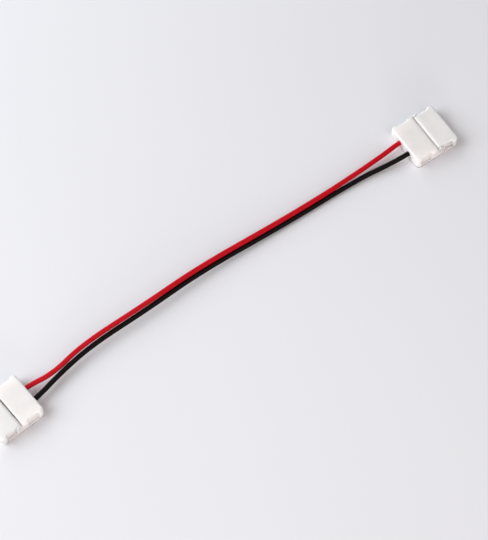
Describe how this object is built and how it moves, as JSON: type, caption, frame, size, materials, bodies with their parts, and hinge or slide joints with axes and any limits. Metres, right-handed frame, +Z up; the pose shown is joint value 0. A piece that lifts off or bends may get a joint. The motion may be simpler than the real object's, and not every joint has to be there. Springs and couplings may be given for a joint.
{
  "type": "led strip connector",
  "caption": "Solderless strip-to-strip connector: a red and black lead with a clip housing at each end, whose hinged lid presses an LED strip onto sprung contacts.",
  "frame": {"origin": "on the surface it lies on, midway between the middles of the clip housings", "axes": "+X from the left housing to the right one, +Z up, +Y towards the side where the red wire leaves"},
  "size_m": [0.1747, 0.0158, 0.0044],
  "materials": {
    "housing": "satin moulded white",
    "contact": "bright stamped sheet",
    "red_insulation": "soft extruded sleeve",
    "black_insulation": "soft extruded sleeve"
  },
  "bodies": {
    "root": {"base_left": "housing", "contact_red_left": "contact", "contact_black_left": "contact", "base_right": "housing", "contact_red_right": "contact", "contact_black_right": "contact", "red_wire": "red_insulation", "black_wire": "black_insulation"},
    "lid_left": {"lid_left": "housing"},
    "lid_right": {"lid_right": "housing"}
  },
  "joints": [
    {"name": "lid_left_hinge", "type": "hinge", "parent": "root", "child": "lid_left", "pos_m": [-0.08041, -0.00009, 0.0034], "axis": [-0.0652, 0.9979, 0], "range_deg": [0, 105]},
    {"name": "lid_right_hinge", "type": "hinge", "parent": "root", "child": "lid_right", "pos_m": [0.08041, -0.00007, 0.0034], "axis": [-0.0523, -0.9986, 0], "range_deg": [0, 105]}
  ]
}
